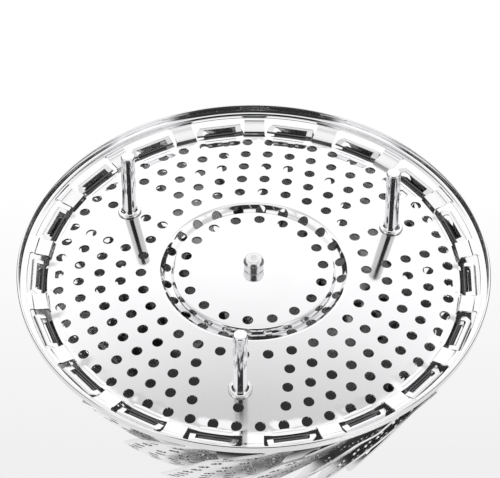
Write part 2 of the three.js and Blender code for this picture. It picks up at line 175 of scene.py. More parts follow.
def bandCells(low, high, cells, sideSteps, middles, holeRadius, holed):
    # Cells between two lines of points, each with a round hole: rays run from the cell's edge to the
    # hole's edge. A cell that isn't holed gets a fan of faces from that edge to its middle
    lowSteps, highSteps = (len(low) - 1) // cells, (len(high) - 1) // cells
    cell = np.arange(cells)[:, None]
    side = (np.arange(sideSteps) / sideSteps)[None, :, None]
    bottom = low[cell * lowSteps + np.arange(lowSteps)]
    top = high[(cell + 1) * highSteps - np.arange(highSteps)]
    lowRight, highRight = low[(cell + 1) * lowSteps], high[(cell + 1) * highSteps]
    lowLeft, highLeft = low[cell * lowSteps], high[cell * highSteps]
    right = lowRight + (highRight - lowRight) * side
    left = highLeft + (lowLeft - highLeft) * side
    loop = np.concatenate([bottom, right, top, left], axis=1)
    away = loop - middles[:, None]
    hole = middles[:, None] + away / np.linalg.norm(away, axis=-1, keepdims=True) * holeRadius
    points = hole[:, None] + (loop - hole)[:, None] * rayShares[None, :, None, None]
    layers, around = points.shape[1], points.shape[2]
    starts = np.arange(cells)[:, None, None] * layers * around
    faces = gridFaces(layers, around, closeColumns=True)[None] + starts
    parts = [(points.reshape(-1, 2), faces.reshape(-1, 4))]
    blank = np.flatnonzero(~holed)
    if blank.size:
        inner = points[blank, -1]
        fill = np.stack([inner, np.broadcast_to(middles[blank][:, None], inner.shape)], axis=1)
        starts = np.arange(blank.size)[:, None, None] * 2 * around
        faces = gridFaces(2, around, closeColumns=True)[None] + starts
        parts.append((fill.reshape(-1, 2), faces.reshape(-1, 4)))
    return parts


def makePiece(name, shape, material, body, node, sharp=35):
    # A quad with a doubled corner becomes a triangle
    points, faces = shape
    kept = faces != np.roll(faces, 1, axis=1)
    whole = kept.all(1)
    triangles = faces[~whole][kept[~whole]].reshape(-1, 3)
    mesh = bpy.data.meshes.new(name)
    mesh.from_pydata((points * mm).tolist(), [], faces[whole].tolist() + triangles.tolist())
    mesh.update()
    mesh.shade_smooth()
    mesh.set_sharp_from_angle(angle=math.radians(sharp))
    mesh.materials.append(material)
    piece = bpy.data.objects.new(name, mesh)
    scene.collection.objects.link(piece)
    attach(piece, body)
    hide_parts(node)
    return piece


def polygonRows(piece, field):
    # The centre or the normal of each polygon
    rows = np.zeros((len(piece.data.polygons), 3), np.float32)
    piece.data.polygons.foreach_get(field, rows.reshape(-1))
    return rows


def addFinish(piece, material, chosen):
    # The chosen polygons take a second finish
    piece.data.materials.append(material)
    piece.data.polygons.foreach_set("material_index", chosen.astype(np.int32))


# Finishes

# For each steel: how far its hairlines stand out, its wiping marks, and its painted deep shade: a darker
# colour that rays see after a first reflection, painted in for the shade where many sheets lie close together
finish = {
    "deckSteel": {"hairlines": 0.05, "marks": {"Smudge Scale": 45.0}},
    "insideShadedSteel": {"hairlines": 0.05, "paintedDeepShade": 0.3, "marks": {"Smudge Scale": 45.0}},
    "petalSteel": {"hairlines": 0.06, "paintedDeepShade": 0.3, "marks": {
        "Smudge Scale": 60.0, "Least Roughness": 0.16, "Most Roughness": 0.26}},
    "turnedSteel": {"hairlines": 0.08, "paintedDeepShade": 0.55, "marks": {
        "Smudge Scale": 120.0, "Most Roughness": 0.12}},
    "nutSteel": {"hairlines": 0.12, "marks": {
        "Smudge Scale": 150.0, "Least Roughness": 0.22, "Most Roughness": 0.32,
        "Bright": (0.8, 0.8, 0.81, 1), "Dull": (0.7, 0.7, 0.71, 1)}},
    # Painted shade: the hinge finish is near-black steel, put inside the hinge curls and on the bar where the
    # slots lie in shade; it is also rougher
    "hingeShadeSteel": {"hairlines": 0.12, "marks": {
        "Smudge Scale": 200.0, "Least Roughness": 0.25, "Most Roughness": 0.4,
        "Bright": (0.17, 0.17, 0.175, 1), "Dull": (0.07, 0.07, 0.073, 1)}},
}
hairlineHeight = 0.00002


def wipeMarksGroup():
    # Smudges make the polish duller in patches, and fine hairlines lie across them
    tree = bpy.data.node_groups.new("wipeMarks", "ShaderNodeTree")
    sockets = [
        ("Vector", "NodeSocketVector", "INPUT", None),
        ("Smudge Scale", "NodeSocketFloat", "INPUT", 60.0),
        ("Least Roughness", "NodeSocketFloat", "INPUT", 0.045),
        ("Most Roughness", "NodeSocketFloat", "INPUT", 0.12),
        ("Bright", "NodeSocketColor", "INPUT", (0.84, 0.84, 0.85, 1)),
        ("Dull", "NodeSocketColor", "INPUT", (0.76, 0.76, 0.77, 1)),
        ("Colour", "NodeSocketColor", "OUTPUT", None),
        ("Roughness", "NodeSocketFloat", "OUTPUT", None),
        ("Height", "NodeSocketFloat", "OUTPUT", None),
    ]
    for name, kind, inOut, value in sockets:
        socket = tree.interface.new_socket(name=name, in_out=inOut, socket_type=kind)
        if value is not None:
            socket.default_value = value
    nodes, links = tree.nodes, tree.links
    given, result = nodes.new("NodeGroupInput"), nodes.new("NodeGroupOutput")
    smudge = nodes.new("ShaderNodeTexNoise")
    smudge.inputs["Detail"].default_value = 5
    smudge.inputs["Roughness"].default_value = 0.6
    links.new(given.outputs["Vector"], smudge.inputs["Vector"])
    links.new(given.outputs["Smudge Scale"], smudge.inputs["Scale"])
    spread = nodes.new("ShaderNodeMapRange")
    spread.inputs["From Min"].default_value = 0.35
    spread.inputs["From Max"].default_value = 0.7
    links.new(smudge.outputs["Fac"], spread.inputs["Value"])
    links.new(given.outputs["Least Roughness"], spread.inputs["To Min"])
    links.new(given.outputs["Most Roughness"], spread.inputs["To Max"])
    squeeze = nodes.new("ShaderNodeMapping")
    squeeze.inputs["Scale"].default_value = (1.0, 0.06, 0.3)
    squeeze.inputs["Rotation"].default_value = (0.0, 0.0, 0.5)
    links.new(given.outputs["Vector"], squeeze.inputs["Vector"])
    hair = nodes.new("ShaderNodeTexNoise")
    hair.inputs["Scale"].default_value = 900
    hair.inputs["Detail"].default_value = 3
    links.new(squeeze.outputs["Vector"], hair.inputs["Vector"])
    tone = nodes.new("ShaderNodeMix")
    tone.data_type = "RGBA"
    links.new(smudge.outputs["Fac"], tone.inputs["Factor"])
    links.new(given.outputs["Bright"], tone.inputs["A"])
    links.new(given.outputs["Dull"], tone.inputs["B"])
    links.new(tone.outputs["Result"], result.inputs["Colour"])
    links.new(spread.outputs["Result"], result.inputs["Roughness"])
    links.new(hair.outputs["Fac"], result.inputs["Height"])
    return tree


def steelMaterial(name, marks):
    # Metal with its wiping marks. A ray that has been reflected before sees a darker colour, painted shade
    # standing in for the shade between close sheets
    steel = finish[name]
    material = bpy.data.materials.new(name)
    material.use_nodes = True
    nodes, links = material.node_tree.nodes, material.node_tree.links
    shader = nodes["Principled BSDF"]
    shader.inputs["Metallic"].default_value = 1.0
    group = nodes.new("ShaderNodeGroup")
    group.node_tree = marks
    for socket, value in steel["marks"].items():
        group.inputs[socket].default_value = value
    links.new(nodes.new("ShaderNodeTexCoord").outputs["Object"], group.inputs["Vector"])
    colour = group.outputs["Colour"]
    # Painted shade: after a first reflection the steel's colour turns darker
    if "paintedDeepShade" in steel:
        reflected = nodes.new("ShaderNodeMath")
        reflected.operation = "GREATER_THAN"
        reflected.inputs[1].default_value = 0.5
        links.new(nodes.new("ShaderNodeLightPath").outputs["Ray Depth"], reflected.inputs[0])
        deep = nodes.new("ShaderNodeMix")
        deep.data_type = "RGBA"
        deep.inputs["B"].default_value = (steel["paintedDeepShade"], steel["paintedDeepShade"], steel["paintedDeepShade"], 1)
        links.new(reflected.outputs[0], deep.inputs["Factor"])
        links.new(colour, deep.inputs["A"])
        colour = deep.outputs["Result"]
    links.new(colour, shader.inputs["Base Color"])
    links.new(group.outputs["Roughness"], shader.inputs["Roughness"])
    relief = nodes.new("ShaderNodeBump")
    relief.inputs["Strength"].default_value = steel["hairlines"]
    relief.inputs["Distance"].default_value = hairlineHeight
    links.new(group.outputs["Height"], relief.inputs["Height"])
    links.new(relief.outputs["Normal"], shader.inputs["Normal"])
    return material


wipeMarks = wipeMarksGroup()
deckSteel = steelMaterial("deckSteel", wipeMarks)
insideShadedSteel = steelMaterial("insideShadedSteel", wipeMarks)
petalSteel = steelMaterial("petalSteel", wipeMarks)
turnedSteel = steelMaterial("turnedSteel", wipeMarks)
nutSteel = steelMaterial("nutSteel", wipeMarks)
hingeShadeSteel = steelMaterial("hingeShadeSteel", wipeMarks)
print("finishes made")


# Deck, rim and hinges: the pressed base plate

hinge = {"count": 18, "radius": 62.3, "height": 25.3}
hingeTurn = fullTurn / hinge["count"]

deck = {
    "height": 25.5, "radius": 61.2, "sheet": 0.6, "sag": 4.75, "flatEdge": 1.5, "postHole": 2.2,
    "ringHoles": (18, 24, 30, 36, 42, 48, 54),
    "ringRadii": (20.6, 26.1, 33.3, 39.45, 45.6, 51.75, 57.9),
    "holeRadius": 1.6, "firstHole": 34.6,       # every ring starts at the first foot's angle
    "feet": 3, "footRing": 4,
    "ridgeInner": 23.4, "ridgeSteep": 24.3, "ridgeCrest": 24.2, "ridgeOuter": 27.9,
    "ridgeHeight": 1.9, "ridgeRound": 2.0,
    "lift": 0.32, "liftStart": 56.2, "liftEnd": 59.2, "liftHalf": 4.4, "liftFade": 2.2,
    "insideFacing": 0.3,                        # least upward part of a normal on the inside
}

# Where the bands of cells start and end, and how finely the sheet is divided
deckGrid = {
    "middleInner": 17.6, "middleOuter": 23.0, "ridgeInner": 24.45, "ridgeOuter": 27.75,
    "outsideInner": 29.3, "outsideOuter": 60.0,
    "middlePoints": 144, "ridgePoints": 240, "edgePoints": 432, "sideSteps": 4,
    "postRows": 12, "ridgeRows": 10, "ridgeFootRows": 6, "edgeRows": 5,
}


def deckLevel(flat):
    # A shallow bowl with a flat edge, a rounded ridge round the middle, and a step up to each tongue
    radius = np.linalg.norm(flat, axis=-1)
    share = np.minimum(radius / (deck["radius"] - deck["flatEdge"]), 1)
    steep = smoothStep(radius, deck["ridgeInner"], deck["ridgeSteep"])
    outside = np.clip((deck["ridgeOuter"] - radius) / (deck["ridgeOuter"] - deck["ridgeCrest"]), 0, 1)
    ridge = steep * np.tanh(deck["ridgeRound"] * outside) / math.tanh(deck["ridgeRound"])
    turn = np.arctan2(flat[..., 1], flat[..., 0])
    aside = np.abs((turn + hingeTurn / 2) % hingeTurn - hingeTurn / 2) * radius
    near = 1 - smoothStep(aside, deck["liftHalf"], deck["liftHalf"] + deck["liftFade"])
    lifted = near * smoothStep(radius, deck["liftStart"], deck["liftEnd"])
    return (deck["height"] - deck["sag"] * (1 - share ** 2) + deck["ridgeHeight"] * ridge
            + deck["lift"] * lifted)


def deckCircle(points, cells):
    # A unit circle, first and last point alike, that starts half a cell before the first hole
    turn = math.radians(deck["firstHole"]) - math.pi / cells + np.arange(points + 1) * fullTurn / points
    return np.stack([np.cos(turn), np.sin(turn)], -1)


def deckParts():
    # Rings of cells with round holes, and plain bands at the post, on the ridge and at the edge.
    # No hole lies at a foot, beside it on its own ring, or aslant from it on the next rings
    holes, radii = deck["ringHoles"], deck["ringRadii"]
    between = [(a + b) / 2 for a, b in zip(radii[2:], radii[3:])]
    lows = [deckGrid["middleInner"], deckGrid["ridgeInner"], deckGrid["outsideInner"]] + between
    highs = [deckGrid["middleOuter"], deckGrid["ridgeOuter"]] + between + [deckGrid["outsideOuter"]]
    middlePoints, ridgePoints = deckGrid["middlePoints"], deckGrid["ridgePoints"]
    edgePoints = deckGrid["edgePoints"]
    shared = [middlePoints, ridgePoints] + [2 * math.lcm(a, b) for a, b in zip(holes[2:], holes[3:])]
    lowCounts, highCounts = [middlePoints] + shared, shared + [edgePoints]
    parts = []
    for index, count in enumerate(holes):
        low = lows[index] * deckCircle(lowCounts[index], count)
        high = highs[index] * deckCircle(highCounts[index], count)
        turn = math.radians(deck["firstHole"]) + np.arange(count) * fullTurn / count
        middles = radii[index] * np.stack([np.cos(turn), np.sin(turn)], -1)
        sector = count // deck["feet"]
        place = np.arange(count) % sector
        fromFoot = np.minimum(place, sector - place)
        fromRing = abs(index - deck["footRing"])
        holed = fromFoot > 1 if fromRing == 0 else (fromFoot != 1) | (fromRing > 1)
        parts += bandCells(low, high, count, deckGrid["sideSteps"], middles, deck["holeRadius"], holed)
    bands = [
        (np.linspace(deck["postHole"], lows[0], deckGrid["postRows"]), middlePoints, holes[0]),
        (np.linspace(highs[0], lows[1], deckGrid["ridgeRows"]), middlePoints, holes[0]),
        (np.linspace(highs[1], lows[2], deckGrid["ridgeFootRows"]), ridgePoints, holes[1]),
        (np.linspace(highs[-1], deck["radius"], deckGrid["edgeRows"]), edgePoints, holes[-1]),
    ]
    for rows, count, cells in bands:
        points = rows[:, None, None] * deckCircle(count, cells)[None, :-1]
        parts.append((points.reshape(-1, 2), gridFaces(len(rows), count, closeColumns=True)))
    return parts


def makeDeck():
    # The flat pattern is raised to the deck's level and thickened along the normal that its slopes give
    flat, faces = joinParts(deckParts())
    stepX, stepY = np.array([slopeStep, 0]), np.array([0, slopeStep])
    slopeX = (deckLevel(flat + stepX) - deckLevel(flat - stepX)) / (2 * slopeStep)
    slopeY = (deckLevel(flat + stepY) - deckLevel(flat - stepY)) / (2 * slopeStep)
    normals = np.stack([-slopeX, -slopeY, np.ones(len(flat))], -1)
    normals /= np.linalg.norm(normals, axis=1, keepdims=True)
    middle = np.concatenate([flat, deckLevel(flat)[:, None]], 1)
    sheet = thicken(middle, normals, faces[:, ::-1], deck["sheet"])
    plate = makePiece("deckPlate", sheet, deckSteel, "base", "base_plate")
    # The upward faces, inside the basket, take a copy of the deck steel that carries the painted deep shade
    addFinish(plate, insideShadedSteel, polygonRows(plate, "normal")[:, 2] > deck["insideFacing"])


rim = {
    "lipInner": 67.0, "lipHeight": 23.2, "sheet": 0.4, "bendRadius": 1.5, "outer": 70.0,
    "hemHeight": 20.4, "hem": 0.38, "hemTurn": 200, "hemTop": 0.4,
    "arcSteps": 12, "around": 432, "sharp": 50,
}


def makeRim():
    # The section is a flat lip that bends down through a quarter circle to an upright wall with a hem
    half, bend, hem, steps = rim["sheet"] / 2, rim["bendRadius"], rim["hem"], rim["arcSteps"]
    wall, inner, height = rim["outer"] - half, rim["lipInner"], rim["lipHeight"]
    middle = (wall - bend, height - bend)
    section = np.concatenate([
        [(inner + half, height - half), (inner, height), (inner + half, height + half)],
        arc(middle, bend + half, bend + half, 90, 0, steps),
        arc((rim["outer"] - hem, rim["hemHeight"]), hem, hem, 0, -rim["hemTurn"], steps),
        [(wall - half, rim["hemHeight"] + rim["hemTop"])],
        arc(middle, bend - half, bend - half, 0, 90, steps),
    ])
    shape = hoop(section, rim["around"])
    makePiece("rolledRim", shape, deckSteel, "base", "base_plate", rim["sharp"])


bridge = {
    "width": 6.2, "sheet": 0.5, "flare": 1.1, "flareDeck": 0.7, "flareLip": 0.3,
    "cornerSteps": 6, "across": 9,
    "lipEnd": -3,                   # where the strip meets the lip, in points from the path's end
    # Corners in radius and height, from the deck's edge and then from the lip's edge
    "fromDeck": ((-1.2, 0), (-0.45, -0.05), (0, -0.6), (0.45, -1.4), (1.2, -1.55)),
    "fromLip": ((-1.7, 0.5), (-1.0, 0.12), (-0.4, -0.05), (0.6, 0)),
}


def makeBridges():
    # A strip steps down from the deck's edge, runs out almost level to the rim's lip, and flares at both ends
    corners = np.concatenate([
        np.add(bridge["fromDeck"], (deck["radius"], deck["height"])),
        np.add(bridge["fromLip"], (rim["lipInner"], rim["lipHeight"])),
    ])
    path = smoothPath(corners, bridge["cornerSteps"])
    travelled = pathLength(path)
    toLip = np.abs(travelled[bridge["lipEnd"]] - travelled)
    fromEnds = np.minimum(travelled / bridge["flareDeck"], toLip / bridge["flareLip"])
    halfWidths = bridge["width"] / 2 + bridge["flare"] * np.exp(-fromEnds)
    angles = (np.arange(hinge["count"]) + 0.5) * hingeTurn
    strips = sweepStrips(path, halfWidths, bridge["sheet"], angles, bridge["across"])
    makePiece("rimBridges", strips, deckSteel, "base", "base_plate")


tongue = {
    "width": 9.6, "sheet": 0.5, "radius": 1.498, "start": 135, "end": 15, "corner": 0.9,
    "root": 59.0, "lead": 1.2, "leadSteps": 6, "curlSteps": 32, "across": 9,
    "shadedFacing": 0.5,            # how squarely a face in the painted shade looks at the hinge's axis
}


def makeTongues():
    # A tongue leaves the lifted deck and curls over the petal's bar; its free corners are round
    axis, radius, root = (hinge["radius"], hinge["height"]), tongue["radius"], tongue["root"]
    curl = arc(axis, radius, radius, tongue["start"], tongue["end"], tongue["curlSteps"])
    level = float(deckLevel(np.array([root, 0.0])))
    lead = smoothPath([(root, level), (root + tongue["lead"], level), tuple(curl[0])], tongue["leadSteps"])
    path = np.concatenate([lead[:-1], curl])
    travelled = pathLength(path)
    toEnd = np.maximum(tongue["corner"] - (travelled[-1] - travelled), 0)
    inset = tongue["corner"] - np.sqrt(np.maximum(tongue["corner"] ** 2 - toEnd ** 2, 0))
    halfWidths = tongue["width"] / 2 - inset
    angles = np.arange(hinge["count"]) * hingeTurn
    strips = sweepStrips(path, halfWidths, tongue["sheet"], angles, tongue["across"])
    tongues = makePiece("hingeTongues", strips, deckSteel, "base", "base_plate")
    # The inside of the curl, whose faces look at the hinge's axis, takes the dark, dull hinge finish: painted
    # shade where the slot lies in shade
    middles, facing = polygonRows(tongues, "center"), polygonRows(tongues, "normal")
    reach = np.hypot(middles[:, 0], middles[:, 1])
    outwards = np.sum(facing[:, :2] * middles[:, :2], 1) / reach
    offAxis, offLevel = reach - hinge["radius"] * mm, middles[:, 2] - hinge["height"] * mm
    towardsAxis = -outwards * offAxis - facing[:, 2] * offLevel
    shaded = towardsAxis > tongue["shadedFacing"] * np.hypot(offAxis, offLevel)
    addFinish(tongues, hingeShadeSteel, shaded & (offAxis > -radius * mm))


makeDeck()
makeRim()
makeBridges()
makeTongues()
print("base plate made")


# Petals

petal = {
    "sheet": 0.45, "length": 66.0, "rootHalf": 7.0, "rootLength": 2.598, "rootDip": 15.0, "bendRadius": 0.9,
    "barStart": 0.0, "barEnd": 0.4, "slotOuter": 2.298, "slantStart": 1.524, "shoulder": 4.4, "neck": 0.8,
    "leanRoot": 24.0, "leanTip": 40.0, "shift": 7.5, "swirl": 14.5,
    "halfRoot": 9.0, "halfTip": 20.0, "widening": 0.8, "tip": 14.0, "bow": 1.0,
    "spiralRoot": 8.0, "spiralTip": 14.0, "archRoot": 72.0, "archTip": 40.0, "blend": 12.0,
    "rowCells": (3, 3, 4, 4, 5, 5, 5, 6), "holeShift": 0.15,
}
petal["bladeStart"] = petal["rootLength"] + petal["bendRadius"] * math.radians(
    90 + petal["rootDip"] + petal["leanRoot"])
petal["slantEnd"] = petal["bladeStart"] + petal["shoulder"] - petal["neck"]

# How finely the blade is divided
petalGrid = {
    "rootPoints": 24, "rowPoints": 24, "tipCellPoints": 8, "sideSteps": 5, "tipRows": 12, "tipBlunt": 0.1,
    "bendRows": 9, "neckRows": 4, "slotRows": 4, "slotEndPoints": 4, "barRows": 3,
}


def rootPoint(along):
    # A flat that dips outwards, then a tight bend upwards
    dip, bend = math.radians(petal["rootDip"]), petal["bendRadius"]
    straight = np.minimum(along, petal["rootLength"])
    turn = np.maximum(along - petal["rootLength"], 0) / bend - dip
    radius = hinge["radius"] + straight * math.cos(dip) + bend * (np.sin(turn) + math.sin(dip))
    height = hinge["height"] - straight * math.sin(dip) + bend * (math.cos(dip) - np.cos(turn))
    return radius, height


def petalMiddle(across, along):
    # The blade leans inwards more and more, swirls round the basket, rises in a spiral
    # and arches from side to side
    length = np.maximum(along - petal["bladeStart"], 0)
    share = length / petal["length"]
    bend = math.radians(petal["leanTip"] - petal["leanRoot"]) / petal["length"]
    leanRoot = math.radians(petal["leanRoot"])
    lean = leanRoot + bend * length
    startRadius, startHeight = rootPoint(petal["bladeStart"])
    radius = startRadius + (np.cos(lean) - math.cos(leanRoot)) / bend
    height = startHeight + (np.sin(lean) - math.sin(leanRoot)) / bend
    turn = petal["shift"] / startRadius + math.radians(petal["swirl"]) * (2 * share - share ** 2)
    aside = across - petal["shift"]
    spiral = petal["spiralRoot"] + (petal["spiralTip"] - petal["spiralRoot"]) * share
    arch = (1 - share) / petal["archRoot"] + share / petal["archTip"]
    reach = radius + spiral * aside / radius + (1 / radius - arch) * aside ** 2 / 2
    angle = turn + aside / radius
    blade = np.stack([reach * np.cos(angle), reach * np.sin(angle), height], -1)
    flat = np.stack([radius, across + radius * turn - petal["shift"], height], -1)
    mix = smoothStep(length, 0, petal["blend"])[..., None]
    rootRadius, rootHeight = rootPoint(np.minimum(along, petal["bladeStart"]))
    root = np.stack([rootRadius, across + 0 * rootRadius, rootHeight], -1)
    return np.where((along <= petal["bladeStart"])[..., None], root, flat + (blade - flat) * mix)


def bladeLine(length, points, bow):
    # A line across the blade that bows towards the tip. The half width grows from root to tip
    # and ends in a half ellipse
    share = length / petal["length"]
    half = petal["halfRoot"] + (petal["halfTip"] - petal["halfRoot"]) * share ** petal["widening"]
    intoTip = max(length - petal["length"] + petal["tip"], 0) / petal["tip"]
    place = np.linspace(-1, 1, points + 1)
    across = petal["shift"] + half * math.sqrt(1 - intoTip ** 2) * place
    return np.stack([across, petal["bladeStart"] + length + bow * (1 - place ** 2)], -1)


def rootLines(along, points):
    # Lines across the root, one for each place along it, from the slanted left edge to the right edge
    along = along[:, None]
    slide = np.clip((along - petal["slantStart"]) / (petal["slantEnd"] - petal["slantStart"]), 0, 1)
    left = -petal["rootHalf"] + (petal["shift"] - petal["halfRoot"] + petal["rootHalf"]) * slide
    across = left + (petal["rootHalf"] - left) * np.linspace(0, 1, points + 1)
    return np.stack([across, along + 0 * across], -1)


def rowPoints(cells, nextCells):
    # A number of points that both rows of cells can share, near the wanted one
    both = math.lcm(cells, nextCells)
    return both * max(1, round(petalGrid["rowPoints"] / both))


def petalParts():
    # Rows of cells with round holes, a plain tip, the neck and bend, the two ends of the slot, and the bar
    cells, points = petal["rowCells"], petalGrid["rootPoints"]
    counts = [points] + [rowPoints(a, b) for a, b in zip(cells, cells[1:])]
    counts.append(cells[-1] * petalGrid["tipCellPoints"])
    tipStart = petal["length"] - petal["tip"]
    lengths = np.linspace(petal["shoulder"], tipStart, len(cells) + 1)
    lines = [bladeLine(length, count, petal["bow"]) for length, count in zip(lengths, counts)]
    parts = []
    for low, high, count in zip(lines, lines[1:], cells):
        lowCorners, highCorners = low[::(len(low) - 1) // count], high[::(len(high) - 1) // count]
        middles = (lowCorners[:-1] + lowCorners[1:] + highCorners[:-1] + highCorners[1:]) / 4
        middles[:, 1] += petal["holeShift"]
        holed = np.ones(count, bool)
        parts += bandCells(low, high, count, petalGrid["sideSteps"], middles, deck["holeRadius"], holed)
    tipShares = np.sin(np.linspace(0, math.pi / 2 - petalGrid["tipBlunt"], petalGrid["tipRows"]))
    tip = np.stack([
        bladeLine(tipStart + petal["tip"] * share, counts[-1], petal["bow"] * (1 - share))
        for share in tipShares
    ])
    bends = np.concatenate([
        [petal["slotOuter"]],
        np.linspace(petal["rootLength"], petal["bladeStart"], petalGrid["bendRows"]),
        np.linspace(petal["bladeStart"], petal["slantEnd"], petalGrid["neckRows"])[1:],
    ])
    rising = np.concatenate([rootLines(bends, points), lines[0][None]])
    slot = rootLines(np.linspace(petal["barEnd"], petal["slotOuter"], petalGrid["slotRows"]), points)
    leftEnd, rightEnd = slot[:, :petalGrid["slotEndPoints"]], slot[:, -petalGrid["slotEndPoints"]:]
    bar = rootLines(np.linspace(petal["barStart"], petal["barEnd"], petalGrid["barRows"]), points)
    for grid in (tip, rising, leftEnd, rightEnd, bar):
        parts.append((grid.reshape(-1, 2), gridFaces(grid.shape[0], grid.shape[1])))
    return parts


def shadeBar(blade, turn):
    # The bar, which turns inside the tongue, takes the dark, dull hinge finish, painted shade for the slot:
    # its faces lie near the hinge's axis
    middles = turnAbout(polygonRows(blade, "center"), -turn) / mm
    near = middles[:, 0] < hinge["radius"] + petal["barEnd"]
    addFinish(blade, hingeShadeSteel, near & (middles[:, 2] < hinge["height"] + petal["sheet"]))


def makePetals():
    # The flat pattern is laid on the blade's surface, thickened along its normal and turned to each hinge
    flat, faces = joinParts(petalParts())
    across, along = flat[:, 0], flat[:, 1]
    overAcross = petalMiddle(across + slopeStep, along) - petalMiddle(across - slopeStep, along)
    overAlong = petalMiddle(across, along + slopeStep) - petalMiddle(across, along - slopeStep)
    normals = np.cross(overAcross, overAlong)
    normals /= np.linalg.norm(normals, axis=1, keepdims=True)
    points, solid = thicken(petalMiddle(across, along), normals, faces, petal["sheet"])
    for index in range(hinge["count"]):
        name = "petal_%02d" % (index + 1)
        turn = index * hingeTurn
        shape = (turnAbout(points, turn), solid)
        blade = makePiece("petalBlade%02d" % (index + 1), shape, petalSteel, name, name)
        shadeBar(blade, turn)
    return len(solid)


print("petals made, faces in each:", makePetals())


# Feet

stud = {
    "names": ("right_rear", "left_rear", "front"), "shaft": 2.1, "tipFlat": 1.26, "tipRound": 0.5,
    "flange": 3.5, "flangeRound": 0.28, "flangeTurn": 60, "flangeInset": 0.05, "fillet": 0.9,
    "fitHeight": 2.4, "fitEnd": 1.0, "head": 3.0, "headHeight": 1.35, "seatGap": 0.03,
    "sides": 64, "tipSteps": 6, "flangeSteps": 8, "headSteps": 10, "slopeReach": 0.1,
}


def makeStuds():
    # A round shaft that flares into a thin flange. Flange and rivet head tip with the slope of the deck
    reach, near = deck["ringRadii"][deck["footRing"]], stud["slopeReach"]
    inner, level, outer = deckLevel(np.array([[reach - near, 0.0], [reach, 0.0], [reach + near, 0.0]]))
    slope = (outer - inner) / (2 * near)
    seat = level - deck["sheet"] / 2 - stud["seatGap"]
    shaft, tip, fillet, edge = stud["shaft"], stud["tipRound"], stud["fillet"], stud["flangeRound"]
    steps = stud["flangeSteps"]
    profile = np.concatenate([
        [(0, 0), (stud["tipFlat"], 0)],
        arc((shaft - tip, tip), tip, tip, -90, 0, stud["tipSteps"]),
        [(shaft, seat - stud["fitHeight"])],
        arc((shaft + fillet, seat - 2 * edge - fillet), fillet, fillet, 180, 90, steps),
        arc((stud["flange"] - edge, seat - edge), edge, edge, -90, stud["flangeTurn"], steps),
        [(stud["flange"] - stud["flangeInset"], seat), (0, seat)],
    ])
    base = level + deck["sheet"] / 2 + stud["seatGap"]
    dome = arc((0, base), stud["head"], stud["headHeight"], 0, 90, stud["headSteps"])
    foot = lathe(profile, stud["sides"])
    rivet = lathe(np.concatenate([[(0, base)], dome]), stud["sides"])
    for points in (foot[0], rivet[0]):
        fit = smoothStep(points[:, 2], seat - stud["fitHeight"], seat - stud["fitEnd"])
        points[:, 2] += slope * points[:, 0] * fit
    for index, name in enumerate(stud["names"]):
        turn = math.radians(deck["firstHole"]) + index * fullTurn / deck["feet"]
        place = reach * np.array([math.cos(turn), math.sin(turn), 0])
        makePiece("stud_" + name, (turnAbout(foot[0], turn) + place, foot[1]), turnedSteel, "base",
                  "foot_" + name)
        makePiece("studRivet_" + name, (turnAbout(rivet[0], turn) + place, rivet[1]), turnedSteel, "base",
                  "foot_rivet_" + name)


# Post, nut and ring

post = {
    "radius": 3.0, "collar": 4.5, "collarHeight": 1.2, "footRound": 0.35, "footInset": 0.25, "footTurn": 60,
    "edgeRound": 0.4, "fillet": 0.6, "neckDrop": 6.0, "crownRound": 0.8, "crownDrop": 4.2, "crownTurn": 80,
    "topRadius": 1.2, "topDrop": 3.1, "tipDrop": 3.05,      # drops are measured from the eye's middle
    "eyeRise": 46.0, "eyeMiddle": 3.07, "eyeWall": 1.1, "eyeHalf": 2.0, "eyeCorner": 0.6,
    "sides": 64, "footSteps": 4, "edgeSteps": 5, "filletSteps": 6, "eyePoints": 32, "eyeAround": 96,
}


def makePost():
    # A turned post with a collar, and an eye on top of it
    middle = float(deckLevel(np.zeros(2)))
    seat = middle + deck["sheet"] / 2 + stud["seatGap"]
    top, eye = seat + post["collarHeight"], middle + post["eyeRise"]
    radius, collar, foot, edge = post["radius"], post["collar"], post["footRound"], post["edgeRound"]
    fillet, crown, steps = post["fillet"], post["crownRound"], post["filletSteps"]
    profile = np.concatenate([
        [(0, seat), (collar - post["footInset"], seat)],
        arc((collar - foot, seat + foot), foot, foot, -post["footTurn"], 0, post["footSteps"]),
        arc((collar - edge, top - edge), edge, edge, 0, 90, post["edgeSteps"]),
        arc((radius + fillet, top + fillet), fillet, fillet, 270, 180, steps),
        [(radius, eye - post["neckDrop"])],
        arc((radius - crown, eye - post["crownDrop"]), crown, crown, 0, post["crownTurn"], steps),
        [(post["topRadius"], eye - post["topDrop"]), (0, eye - post["tipDrop"])],
    ])
    # The eye is a hoop about Y whose section is a square with round corners
    turn = np.arange(post["eyePoints"]) * fullTurn / post["eyePoints"]
    wide, tall = (np.sign(wave) * np.abs(wave) ** post["eyeCorner"] for wave in (np.cos(turn), np.sin(turn)))
    section = np.stack([post["eyeMiddle"] + post["eyeWall"] * wide, post["eyeHalf"] * tall], -1)
    points, faces = hoop(section, post["eyeAround"])
    points = np.stack([points[:, 0], -points[:, 2], points[:, 1] + eye], -1)
    shape = joinParts([lathe(profile, post["sides"]), (points, faces)])
    makePiece("centrePost", shape, turnedSteel, "base", "centre_post")
    return eye


nut = {
    "radius": 3.1, "height": 4.0, "endRound": 1.5, "endSteps": 12,
    "foot": 2.8, "footHeight": 0.3, "footSpread": 0.1, "sides": 64,
    "dimple": ((0, 0.55), (0.57, 0.4), (0.95, 0.06), (1.25, 0)),    # radius and depth, from its middle
}


